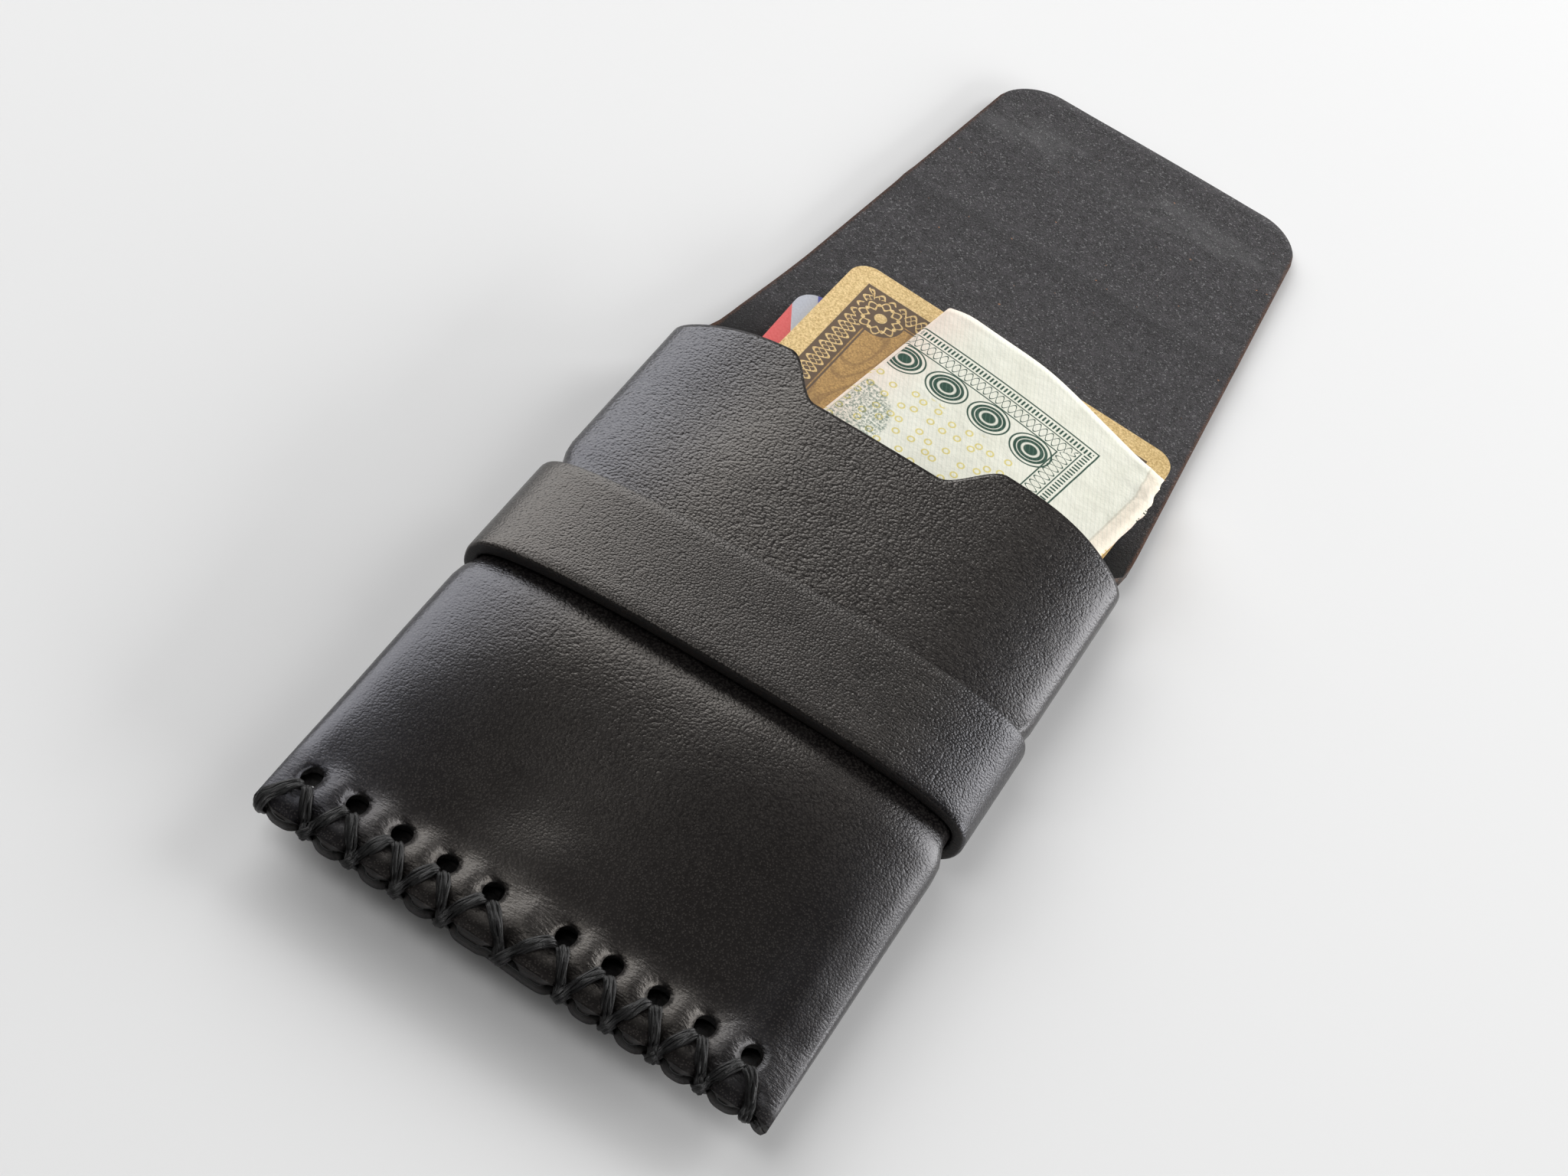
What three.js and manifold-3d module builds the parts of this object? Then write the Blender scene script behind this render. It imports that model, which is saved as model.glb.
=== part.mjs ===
// Slim laced leather wallet lying on its back with the flap open, two cards and a folded note inside.
// Millimetres, +Z up, +Y towards the flap tip, X across. Origin under the middle of the outline.
import * as THREE from "three";
import { mergeVertices } from "three/addons/utils/BufferGeometryUtils.js";
import Module from "manifold-3d";

// Leather pocket: a flat tube, laced shut at y = 0 and open at the mouth
const LEATHER = 1.9;
const BODY_WIDTH = 71;
const BODY_LENGTH = 104;
const BODY_BOTTOM = 2.3;
const BODY_TOP = 11.6;
const SEAM_BOTTOM = 4.5;
const SEAM_TOP = 8.7;
const SEAM_RISE_BACK = 24;
const SEAM_RISE_FRONT = 40;
const FRONT_ROUNDNESS = 2.8;
const BACK_ROUNDNESS = 8;
const POCKET_RING = 56;
const SEAM_ROWS = [0, 3, 6, 10, 14, 18, 24, 30, 36, 40];

// Mouth edge of the front panel with its thumb notch
const MOUTH_DROP = 5;
const MOUTH_CORNER = 9;
const MOUTH_ROW_INSET = 8;
const NOTCH_DEPTH = 7.2;
const NOTCH_TOP_WIDTH = 32.5;
const NOTCH_BOTTOM_WIDTH = 21.5;
const NOTCH_CENTRE = -3;
const NOTCH_TOP_ROUND = 2.4;
const NOTCH_FOOT_ROUND = 4;
const NOTCH_SIDE_SWING = 1;

// Flap, in one plane with the back panel, and the line where it folds past the cards
const FLAP_TIP = 192.5;
const FLAP_ROOT_HALF = 34;
const FLAP_TAPER = 0.0945;
const FLAP_OFFSET = 0.8;
const FLAP_LEAN = 0.022;
const FLAP_CORNER = 9;
const FOLD_LINE = 140;
const FLAT_FROM = 134;
const FLAP_ROOT_REACH = 6;
const FLAP_SAG = 0.15;
const FIT_GAP = 0.3;

// Keeper strap round the pocket
const STRAP_WIDTH = 18.5;
const STRAP_THICK = 2;
const STRAP_START = 48;
const STRAP_INNER_TOP = 12.6;
const STRAP_SIDE_GAP = 0.4;
const STRAP_RING = 64;

// Lacing along the seam
const HOLE_COUNT = 10;
const HOLE_PITCH = 6.35;
const HOLE_MIDDLE_PITCH = 10;
const HOLE_INSET = 5.7;
const HOLE_DIAMETER = 2.7;
const HOLE_SIDES = 14;
const LACING_CENTRE = -0.9;
const CORD_DIAMETER = 1.15;
const CORD_CLEAR = 0.32;
const CORD_SIDES = 6;
const CORD_STEPS = 16;
const CORD_DIP = 0.4;
const POST_SIDES = 8;
const POST_SWELL = 1.25;
const END_STITCH = 3;
const GROOVE_RADIUS = 1.5;
const GROOVE_DEPTH = 0.7;

// Route of a stitch from its hole to the seam edge: share of the way across, y and lift over the leather
const STITCH_ROUTE = [
  [0.04, 5.35, 1.02],
  [0.4, 2.6, 0.98],
  [0.72, 0.9, 0.92],
  [0.86, -0.1, 0.6],
];

// Cards and folded note
const CARD_WIDTH = 54;
const CARD_LENGTH = 85.6;
const CARD_THICK = 0.76;
const CARD_CORNER = 3.18;
const LOWER_CARD_AT = [0.6, 79.2];
const LOWER_CARD_TURN = -0.6;
const GOLD_CARD_AT = [2.65, 88.1];
const GOLD_CARD_TURN = -2.7;
const NOTE_WIDTH = 41.5;
const NOTE_LENGTH = 66;
const NOTE_THICK = 1.5;
const NOTE_CORNER = 0.6;
const NOTE_AT = [7.9, 96.6];
const NOTE_TURN = -7;

const CORD_RADIUS = CORD_DIAMETER / 2;
const CORD_LIFT = CORD_RADIUS + CORD_CLEAR;
const CORD_REACH = CORD_LIFT - GROOVE_DEPTH;
const SHIFT_Y = -(FLAP_TIP - CORD_REACH - CORD_RADIUS) / 2;
const OVERCUT = 1;

const wasm = await Module();
wasm.setup();

function toSolid(geometry) {
  const bare = geometry.clone();
  bare.deleteAttribute("normal");
  bare.deleteAttribute("uv");
  const welded = mergeVertices(bare, 1e-4);
  const vertProperties = new Float32Array(welded.attributes.position.array);
  const triVerts = new Uint32Array(welded.index.array);
  return new wasm.Manifold(new wasm.Mesh({ numProp: 3, vertProperties, triVerts }));
}

function toGeometry(solid) {
  const mesh = solid.getMesh();
  const geometry = new THREE.BufferGeometry();
  geometry.setAttribute("position", new THREE.BufferAttribute(new Float32Array(mesh.vertProperties), 3));
  geometry.setIndex(new THREE.BufferAttribute(new Uint32Array(mesh.triVerts), 1));
  return geometry;
}

function ease(t) {
  const s = Math.min(Math.max(t, 0), 1);
  return s * s * (3 - 2 * s);
}

// Outer height of the pocket at a distance from the seam edge
function bodyBottom(y) {
  return SEAM_BOTTOM + (BODY_BOTTOM - SEAM_BOTTOM) * ease(y / SEAM_RISE_BACK);
}

function bodyTop(y) {
  const t = Math.min(Math.max(y / SEAM_RISE_FRONT, 0), 1);
  return SEAM_TOP + (BODY_TOP - SEAM_TOP) * Math.sin(t * Math.PI / 2);
}

// Height of an oval section over a point x, front side or back side
function ovalHeight(x, half, bottom, top, front) {
  const middle = (bottom + top) / 2;
  const rise = (top - bottom) / 2;
  const power = front ? FRONT_ROUNDNESS : BACK_ROUNDNESS;
  const share = Math.min(Math.abs(x) / half, 1) ** power;
  const height = rise * (1 - share) ** (1 / power);
  return front ? middle + height : middle - height;
}

// Closed oval outline in the x-z plane, same number of points whatever its size
function ovalRing(half, bottom, top, count) {
  const middle = (bottom + top) / 2;
  const rise = (top - bottom) / 2;
  const ring = [];
  for (let i = 0; i < count; i++) {
    const angle = 2 * Math.PI * i / count;
    const c = Math.cos(angle);
    const s = Math.sin(angle);
    const power = s >= 0 ? FRONT_ROUNDNESS : BACK_ROUNDNESS;
    const x = half * Math.sign(c) * Math.abs(c) ** (2 / power);
    const z = middle + rise * Math.sign(s) * Math.abs(s) ** (2 / power);
    ring.push([x, z]);
  }
  return ring;
}

// Solid through a row of rings, each [y, ring], with flat ends
function loft(rows) {
  const count = rows[0][1].length;
  const position = [];
  for (const [y, ring] of rows) {
    for (const [x, z] of ring) {
      position.push(x, y, z);
    }
  }
  const index = [];
  for (let r = 0; r + 1 < rows.length; r++) {
    for (let i = 0; i < count; i++) {
      const j = (i + 1) % count;
      const a = r * count + i;
      const b = r * count + j;
      const c = a + count;
      const d = b + count;
      index.push(a, c, b, b, c, d);
    }
  }
  const last = (rows.length - 1) * count;
  for (let i = 1; i + 1 < count; i++) {
    index.push(0, i, i + 1);
    index.push(last, last + i + 1, last + i);
  }
  const geometry = new THREE.BufferGeometry();
  geometry.setAttribute("position", new THREE.Float32BufferAttribute(position, 3));
  geometry.setIndex(index);
  return geometry;
}

function tubeStations(from, to) {
  const seam = SEAM_ROWS.filter((y) => y > from && y < to);
  return [from, ...seam, STRAP_START, STRAP_START + STRAP_WIDTH, BODY_LENGTH - MOUTH_ROW_INSET, to];
}

function tube(inset, from, to) {
  const half = BODY_WIDTH / 2 - inset;
  return loft(tubeStations(from, to).map((y) => {
    return [y, ovalRing(half, bodyBottom(y) + inset, bodyTop(y) - inset, POCKET_RING)];
  }));
}

// Left and right edge of the flap at a distance from the seam edge
function flapHalf(y) {
  return FLAP_ROOT_HALF - FLAP_TAPER * Math.max(y - BODY_LENGTH, 0);
}

function flapCentre(y) {
  return y > BODY_LENGTH ? FLAP_OFFSET + FLAP_LEAN * (y - BODY_LENGTH) : 0;
}

// Region taken off the front panel: everything past the mouth edge
function mouthCutter() {
  const edge = BODY_LENGTH;
  const side = BODY_WIDTH / 2 + OVERCUT;
  const top = NOTCH_TOP_WIDTH / 2;
  const low = NOTCH_BOTTOM_WIDTH / 2;
  const floor = edge - NOTCH_DEPTH;
  const mid = NOTCH_CENTRE;
  const round = NOTCH_TOP_ROUND;
  const foot = NOTCH_FOOT_ROUND;
  const swing = NOTCH_SIDE_SWING;
  const dropped = edge - MOUTH_DROP;
  const shape = new THREE.Shape();
  shape.moveTo(-side, dropped);
  shape.quadraticCurveTo(-side + MOUTH_CORNER, edge, mid - top - round, edge);
  shape.quadraticCurveTo(mid - top, edge, mid - top + swing, edge - round);
  shape.quadraticCurveTo(mid - low - swing, floor, mid - low + foot, floor);
  shape.lineTo(mid + low - foot, floor);
  shape.quadraticCurveTo(mid + low + swing, floor, mid + top - swing, edge - round);
  shape.quadraticCurveTo(mid + top, edge, mid + top + round, edge);
  shape.quadraticCurveTo(side - MOUTH_CORNER, edge, side, dropped);
  shape.lineTo(side, edge + OVERCUT);
  shape.lineTo(-side, edge + OVERCUT);
  shape.closePath();
  const options = { depth: BODY_TOP, bevelEnabled: false, curveSegments: 8 };
  const geometry = new THREE.ExtrudeGeometry(shape, options);
  geometry.translate(0, 0, BODY_BOTTOM + LEATHER + FIT_GAP);
  return geometry;
}

function holeXs() {
  const xs = [];
  for (let i = 0; i < HOLE_COUNT / 2; i++) {
    const x = HOLE_MIDDLE_PITCH / 2 + i * HOLE_PITCH;
    xs.push(LACING_CENTRE + x, LACING_CENTRE - x);
  }
  return xs.sort((a, b) => a - b);
}

// Where the lacing passes over the seam edge: between the holes and beside the outer ones
function crossingXs() {
  const xs = holeXs();
  const middles = xs.slice(1).map((x, i) => (x + xs[i]) / 2);
  return [xs[0] - END_STITCH, ...middles, xs[xs.length - 1] + END_STITCH];
}

function uprightCutter(x, y, radius) {
  const geometry = new THREE.CylinderGeometry(radius, radius, 2 * BODY_TOP, HOLE_SIDES);
  geometry.rotateX(Math.PI / 2);
  geometry.translate(x, y, 0);
  return toSolid(geometry);
}

// Pocket leather with the standing part of the flap
function pocketGeometry() {
  const cuts = [toSolid(tube(LEATHER, -OVERCUT, BODY_LENGTH + OVERCUT)), toSolid(mouthCutter())];
  for (const x of holeXs()) {
    cuts.push(uprightCutter(x, HOLE_INSET, HOLE_DIAMETER / 2));
  }
  for (const x of crossingXs()) {
    cuts.push(uprightCutter(x, GROOVE_DEPTH - GROOVE_RADIUS, GROOVE_RADIUS));
  }
  const shell = toSolid(tube(0, 0, BODY_LENGTH)).subtract(wasm.Manifold.union(cuts));
  const rows = [
    [BODY_LENGTH - FLAP_ROOT_REACH, BODY_BOTTOM],
    [BODY_LENGTH, BODY_BOTTOM],
    [BODY_LENGTH + FLAP_ROOT_REACH, BODY_BOTTOM - FLAP_SAG],
    [FLAT_FROM - FLAP_ROOT_REACH, FLAP_SAG],
    [FLAT_FROM, 0],
    [FOLD_LINE - FIT_GAP / 2, 0],
  ].map(([y, z]) => {
    const left = flapCentre(y) - flapHalf(y);
    const right = flapCentre(y) + flapHalf(y);
    return [y, [[left, z], [right, z], [right, z + LEATHER], [left, z + LEATHER]]];
  });
  return toGeometry(shell.add(toSolid(loft(rows))));
}

// Swinging part of the flap beyond the fold line
function flapGeometry() {
  const start = FOLD_LINE + FIT_GAP / 2;
  const cornerY = FLAP_TIP - FLAP_CORNER;
  const left = (y) => flapCentre(y) - flapHalf(y);
  const right = (y) => flapCentre(y) + flapHalf(y);
  const tipLeft = left(FLAP_TIP);
  const tipRight = right(FLAP_TIP);
  const shape = new THREE.Shape();
  shape.moveTo(left(start), start);
  shape.lineTo(right(start), start);
  shape.lineTo(right(cornerY), cornerY);
  shape.quadraticCurveTo(tipRight, FLAP_TIP, tipRight - FLAP_CORNER, FLAP_TIP);
  shape.lineTo(tipLeft + FLAP_CORNER, FLAP_TIP);
  shape.quadraticCurveTo(tipLeft, FLAP_TIP, left(cornerY), cornerY);
  shape.closePath();
  return new THREE.ExtrudeGeometry(shape, { depth: LEATHER, bevelEnabled: false, curveSegments: 10 });
}

// Strap: a closed band, tight at the sides and arched over the front
function strapGeometry() {
  const inner = BODY_WIDTH / 2 + STRAP_SIDE_GAP;
  const low = BODY_BOTTOM - FIT_GAP;
  const end = STRAP_START + STRAP_WIDTH;
  const outside = loft([STRAP_START, end].map((y) => {
    return [y, ovalRing(inner + STRAP_THICK, low - STRAP_THICK, STRAP_INNER_TOP + STRAP_THICK, STRAP_RING)];
  }));
  const inside = loft([STRAP_START - OVERCUT, end + OVERCUT].map((y) => {
    return [y, ovalRing(inner, low, STRAP_INNER_TOP, STRAP_RING)];
  }));
  return toGeometry(toSolid(outside).subtract(toSolid(inside)));
}

function rod(points, radius, steps) {
  const curve = new THREE.CatmullRomCurve3(points, false, "centripetal");
  const shape = new THREE.Shape();
  for (let i = 0; i < CORD_SIDES; i++) {
    const angle = 2 * Math.PI * i / CORD_SIDES;
    const x = radius * Math.cos(angle);
    const y = radius * Math.sin(angle);
    if (i === 0) {
      shape.moveTo(x, y);
    } else {
      shape.lineTo(x, y);
    }
  }
  shape.closePath();
  return new THREE.ExtrudeGeometry(shape, { steps, bevelEnabled: false, extrudePath: curve });
}

// Point on the cord over the front or back of the seam, x across and y from the edge
function overLeather(x, y, front, lift) {
  const bottom = bodyBottom(Math.max(y, 0));
  const top = bodyTop(Math.max(y, 0));
  const surface = ovalHeight(x, BODY_WIDTH / 2, bottom, top, front);
  return new THREE.Vector3(x, y, front ? surface + lift : surface - lift);
}

// Cord out of a front hole, over the edge and into a back hole
function stitch(fromX, edgeX, toX) {
  const half = (holeX, front) => STITCH_ROUTE.map(([share, y, lift]) => {
    return overLeather(holeX + (edgeX - holeX) * share, y, front, lift);
  });
  const points = [
    overLeather(fromX, HOLE_INSET, true, -CORD_DIP),
    ...half(fromX, true),
    new THREE.Vector3(edgeX, -CORD_REACH, (SEAM_BOTTOM + SEAM_TOP) / 2),
    ...half(toX, false).reverse(),
    overLeather(toX, HOLE_INSET, false, -CORD_DIP),
  ];
  return toSolid(rod(points, CORD_RADIUS, CORD_STEPS));
}

// Cord run straight through both layers at a hole
function post(x) {
  const radius = CORD_RADIUS * POST_SWELL;
  const geometry = new THREE.CylinderGeometry(radius, radius, 1, POST_SIDES);
  const top = overLeather(x, HOLE_INSET, true, 0).z;
  const low = overLeather(x, HOLE_INSET, false, 0).z;
  geometry.rotateX(Math.PI / 2);
  geometry.scale(1, 1, top - low);
  geometry.translate(x, HOLE_INSET, (top + low) / 2);
  return geometry;
}

function lacingGeometry() {
  const xs = holeXs();
  const edges = crossingXs();
  const last = xs.length - 1;
  const solids = xs.map((x) => toSolid(post(x)));
  for (let i = 0; i < last; i++) {
    solids.push(stitch(xs[i], edges[i + 1], xs[i + 1]));
    solids.push(stitch(xs[i + 1], edges[i + 1], xs[i]));
  }
  solids.push(stitch(xs[0], edges[0], xs[0]));
  solids.push(stitch(xs[last], edges[last + 1], xs[last]));
  return toGeometry(wasm.Manifold.union(solids));
}

function roundedPlate(width, length, corner, thick) {
  const shape = new THREE.Shape();
  const w = width / 2;
  const l = length / 2;
  shape.moveTo(-w + corner, -l);
  shape.lineTo(w - corner, -l);
  shape.absarc(w - corner, -l + corner, corner, -Math.PI / 2, 0, false);
  shape.lineTo(w, l - corner);
  shape.absarc(w - corner, l - corner, corner, 0, Math.PI / 2, false);
  shape.lineTo(-w + corner, l);
  shape.absarc(-w + corner, l - corner, corner, Math.PI / 2, Math.PI, false);
  shape.lineTo(-w, -l + corner);
  shape.absarc(-w + corner, -l + corner, corner, Math.PI, 1.5 * Math.PI, false);
  shape.closePath();
  return new THREE.ExtrudeGeometry(shape, { depth: thick, bevelEnabled: false, curveSegments: 8 });
}

function cardPlate() {
  return roundedPlate(CARD_WIDTH, CARD_LENGTH, CARD_CORNER, CARD_THICK);
}

function notePlate() {
  return roundedPlate(NOTE_WIDTH, NOTE_LENGTH, NOTE_CORNER, NOTE_THICK);
}

function place(geometry, at, turn, z) {
  geometry.rotateZ(THREE.MathUtils.degToRad(turn));
  geometry.translate(at[0], at[1], z);
  return geometry;
}

const group = new THREE.Group();

function add(name, geometry, color, roughness) {
  geometry.translate(0, SHIFT_Y, 0);
  const material = new THREE.MeshStandardMaterial({ color, roughness, metalness: 0 });
  const mesh = new THREE.Mesh(geometry, material);
  mesh.name = name;
  group.add(mesh);
}

const LOWER_CARD_Z = BODY_BOTTOM + LEATHER + FIT_GAP;
const GOLD_CARD_Z = LOWER_CARD_Z + CARD_THICK + FIT_GAP;
const NOTE_Z = GOLD_CARD_Z + CARD_THICK + FIT_GAP;

add("pocket", pocketGeometry(), 0x232124, 0.5);
add("flap", flapGeometry(), 0x3a383c, 0.9);
add("strap", strapGeometry(), 0x262325, 0.6);
add("lacing_cord", lacingGeometry(), 0x141314, 0.55);
add("lower_card", place(cardPlate(), LOWER_CARD_AT, LOWER_CARD_TURN, LOWER_CARD_Z), 0xc8443f, 0.4);
add("gold_card", place(cardPlate(), GOLD_CARD_AT, GOLD_CARD_TURN, GOLD_CARD_Z), 0xc9a866, 0.35);
add("folded_note", place(notePlate(), NOTE_AT, NOTE_TURN, NOTE_Z), 0xe6e6d8, 0.9);

export default group;
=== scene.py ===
# Black leather card wallet, open on a pale table, with two cards and a folded note in its pocket.
# Shape code works in millimetres in the wallet's own frame: y is 0 at the laced seam and z is 0 on the
# table. The frame's origin lies further along the wallet, so a mesh moves by SEAM_Y when it is made.
import math

import bpy
import numpy as np
from mathutils import Matrix, Vector


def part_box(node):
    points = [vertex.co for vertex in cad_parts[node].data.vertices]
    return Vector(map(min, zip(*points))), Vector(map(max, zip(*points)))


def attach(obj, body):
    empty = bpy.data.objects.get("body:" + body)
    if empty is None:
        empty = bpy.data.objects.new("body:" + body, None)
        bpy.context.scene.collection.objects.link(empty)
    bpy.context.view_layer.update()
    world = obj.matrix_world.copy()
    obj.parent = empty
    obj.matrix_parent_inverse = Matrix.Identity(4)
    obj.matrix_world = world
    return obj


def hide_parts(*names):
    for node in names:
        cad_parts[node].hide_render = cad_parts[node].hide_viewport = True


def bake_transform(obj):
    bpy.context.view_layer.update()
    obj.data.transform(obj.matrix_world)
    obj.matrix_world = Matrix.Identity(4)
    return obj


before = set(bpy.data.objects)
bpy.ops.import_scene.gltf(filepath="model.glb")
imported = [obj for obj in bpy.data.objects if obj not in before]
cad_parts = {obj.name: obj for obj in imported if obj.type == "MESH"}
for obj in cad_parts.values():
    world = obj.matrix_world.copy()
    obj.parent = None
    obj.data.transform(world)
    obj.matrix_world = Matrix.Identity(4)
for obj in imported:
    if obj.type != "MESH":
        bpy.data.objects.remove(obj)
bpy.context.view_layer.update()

MM = 0.001
SEAM_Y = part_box("pocket")[0][1] / MM
rng = np.random.default_rng(7)

# Leather pocket
LEATHER = 1.9
BODY_HALF = 35.5
BODY_LENGTH = 104.0
BODY_BOTTOM = 2.3
BODY_TOP = 11.6
SEAM_BOTTOM = 4.5
SEAM_TOP = 8.7
SEAM_MIDDLE = (SEAM_BOTTOM + SEAM_TOP) / 2
SEAM_RISE_BACK = 24.0
SEAM_RISE_FRONT = 40.0
FRONT_ROUNDNESS = 3.1
SEAM_ROUNDNESS = 8.0
BACK_ROUNDNESS = 4.2
POCKET_SECTION = (BODY_HALF, BODY_BOTTOM, BODY_TOP, SEAM_ROUNDNESS)
CROWN = 0.5
RING_COUNT = 300

# Mouth and notch
MOUTH_DROP = 5.0
NOTCH_CENTRE = -3.0
NOTCH_DEPTH = 7.2
NOTCH_TOP_HALF = 17.2
NOTCH_FOOT_HALF = 9.6

# Flap
FLAP_TIP = 192.5
FLAP_ROOT_HALF = 34.0
FLAP_TAPER = 0.0945
FLAP_OFFSET = 0.8
FLAP_LEAN = 0.022
FLAP_CORNER = 7.4
FLAT_FROM = 134.0
CREASE_Y = 157.0
RUB_Y = 181.0

# Keeper strap
STRAP_START = 48.0
STRAP_WIDTH = 18.5
STRAP_THICK = 2.0
STRAP_INNER_HALF = 34.4
STRAP_INNER_BOTTOM = 2.0
STRAP_INNER_TOP = 11.5
STRAP_BACK_ROUNDNESS = 3.2
STRAP_SECTION = (STRAP_INNER_HALF, STRAP_INNER_BOTTOM, STRAP_INNER_TOP, STRAP_BACK_ROUNDNESS)
STRAP_COLUMNS = 420
STRAP_EDGE = 0.6
GRIP_SIDE = 1.2
GRIP_TOP = 0.4
GRIP_REACH = 5.0

# Lacing
HOLE_INSET = 5.7
HOLE_RADIUS = 1.35
HOLE_RIM = 0.9
HOLE_DISH = 0.12
HOLE_SHAPE = np.array([0.93, 1.2])
HOLE_PITCH = 6.35
HOLE_MIDDLE_PITCH = 10.0
LACING_CENTRE = -0.9
END_STITCH = 3.0

# Cards and note
CARD_HALF = (27.0, 42.8)
CARD_CORNER = 3.18
GOLD_AT = (2.65, 88.1)
GOLD_TURN = math.radians(-2.7)
LOWER_AT = (0.6, 79.2)
LOWER_TURN = math.radians(-0.6)
NOTE_AT = (7.9, 96.2)
NOTE_TURN = math.radians(-9.0)
NOTE_HALF = (20.75, 33.0)
NOTE_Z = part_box("folded_note")[0][2] / MM


# Camera

CAMERA = {"azimuth": 11.44, "elevation": 48.15, "roll": -22.96, "focal_px": 4000.89}
CAMERA_TARGET = (-2.63, 76.33)
CAMERA_DISTANCE = 406.07
IMAGE_WIDTH = 2048
SENSOR_WIDTH = 36


def add_camera():
    """The photo's camera: above the seam end of the wallet, turned clockwise."""
    azimuth = math.radians(CAMERA["azimuth"])
    elevation = math.radians(CAMERA["elevation"])
    roll = math.radians(CAMERA["roll"])
    back = Vector((
        math.sin(azimuth) * math.cos(elevation),
        -math.cos(azimuth) * math.cos(elevation),
        math.sin(elevation),
    ))
    right = (-back).cross(Vector((0, 0, 1))).normalized()
    down = (-back).cross(right)
    right_rolled = math.cos(roll) * right + math.sin(roll) * down
    down_rolled = -math.sin(roll) * right + math.cos(roll) * down
    place = Vector((CAMERA_TARGET[0], CAMERA_TARGET[1] + SEAM_Y, 0)) + back * CAMERA_DISTANCE
    data = bpy.data.cameras.new("camera")
    data.sensor_fit = "HORIZONTAL"
    data.sensor_width = SENSOR_WIDTH
    data.lens = CAMERA["focal_px"] / IMAGE_WIDTH * SENSOR_WIDTH
    data.clip_start = 0.01
    camera = bpy.data.objects.new("camera", data)
    turn = Matrix((right_rolled, -down_rolled, back)).transposed()
    camera.matrix_world = Matrix.Translation(place * MM) @ turn.to_4x4()
    bpy.context.scene.collection.objects.link(camera)
    bpy.context.scene.camera = camera


# Shape helpers

def ease(t):
    """0 below 0, 1 above 1 and smooth between."""
    t = np.clip(t, 0.0, 1.0)
    return t * t * (3 - 2 * t)


def bell(t):
    return np.exp(-t * t)


def hole_xs():
    steps = HOLE_MIDDLE_PITCH / 2 + HOLE_PITCH * np.arange(5)
    return np.concatenate([LACING_CENTRE - steps[::-1], LACING_CENTRE + steps])


HOLES = hole_xs()
CROSSINGS = (HOLES[:-1] + HOLES[1:]) / 2


def add_mesh(name, points, faces):
    """Mesh from points in millimetres in the wallet's frame."""
    points = np.asarray(points, float).copy()
    points[:, 1] += SEAM_Y
    mesh = bpy.data.meshes.new(name)
    mesh.from_pydata((points * MM).tolist(), [], [tuple(int(i) for i in face) for face in faces])
    mesh.validate()
    mesh.shade_smooth()
    piece = bpy.data.objects.new(name, mesh)
    bpy.context.scene.collection.objects.link(piece)
    return piece


def grid_faces(rows, columns, closed_columns=False, closed_rows=False, offset=0):
    """Four-sided faces of a grid of points that starts at an offset."""
    faces = []
    for r in range(rows if closed_rows else rows - 1):
        below = (r + 1) % rows
        for c in range(columns if closed_columns else columns - 1):
            beside = (c + 1) % columns
            faces.append((
                offset + r * columns + c,
                offset + r * columns + beside,
                offset + below * columns + beside,
                offset + below * columns + c,
            ))
    return faces


def set_uv(piece, uv_of_vertex):
    layer = piece.data.uv_layers.new(name="UVMap")
    index = np.empty(len(piece.data.loops), dtype=np.int32)
    piece.data.loops.foreach_get("vertex_index", index)
    layer.data.foreach_set("uv", np.asarray(uv_of_vertex, np.float32)[index].ravel())


def smooth_path(points, count):
    """Catmull-Rom curve through points, sampled evenly by length."""
    points = np.asarray(points, float)
    ends = np.vstack([2 * points[0] - points[1], points, 2 * points[-1] - points[-2]])
    dense = []
    for i in range(1, len(ends) - 2):
        a, b, c, d = ends[i - 1:i + 3]
        for t in np.linspace(0, 1, 12, endpoint=False):
            dense.append(0.5 * (
                2 * b + (c - a) * t + (2 * a - 5 * b + 4 * c - d) * t ** 2
                + (3 * b - a - 3 * c + d) * t ** 3
            ))
    dense.append(points[-1])
    dense = np.array(dense)
    length = np.concatenate([[0], np.cumsum(np.linalg.norm(np.diff(dense, axis=0), axis=1))])
    at = np.linspace(0, length[-1], count)
    return np.stack([np.interp(at, length, dense[:, k]) for k in range(3)], axis=1)


# Materials

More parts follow.
